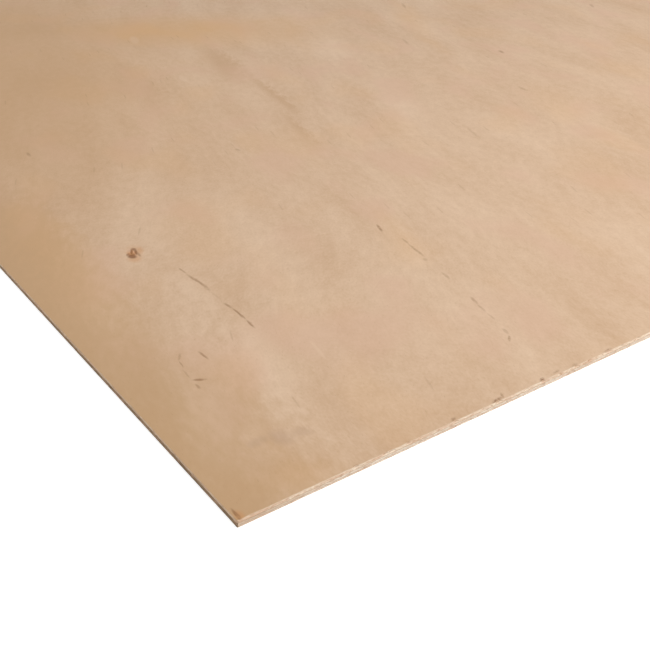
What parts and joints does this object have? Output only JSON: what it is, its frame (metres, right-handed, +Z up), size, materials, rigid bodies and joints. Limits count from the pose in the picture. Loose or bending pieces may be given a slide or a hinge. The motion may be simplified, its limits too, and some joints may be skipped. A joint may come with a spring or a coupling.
{
  "type": "plywood sheet",
  "caption": "Full sheet of thin plywood lying flat, with a smooth pale brown face veneer and its glued plies showing on the sawn edges.",
  "frame": {"origin": "middle of the underside, which is the plane the sheet lies on", "axes": "+Z up out of the face veneer, +Y along the sheet's length and the grain of its face, +X across its width"},
  "size_m": [1.22, 2.44, 0.0036],
  "materials": {
    "face_veneer": "sanded, unfinished",
    "core_veneer": "sawn, unfinished",
    "back_veneer": "lightly sanded, unfinished"
  },
  "bodies": {
    "root": {"face_ply": "face_veneer", "core_ply": "core_veneer", "back_ply": "back_veneer"}
  },
  "joints": []
}
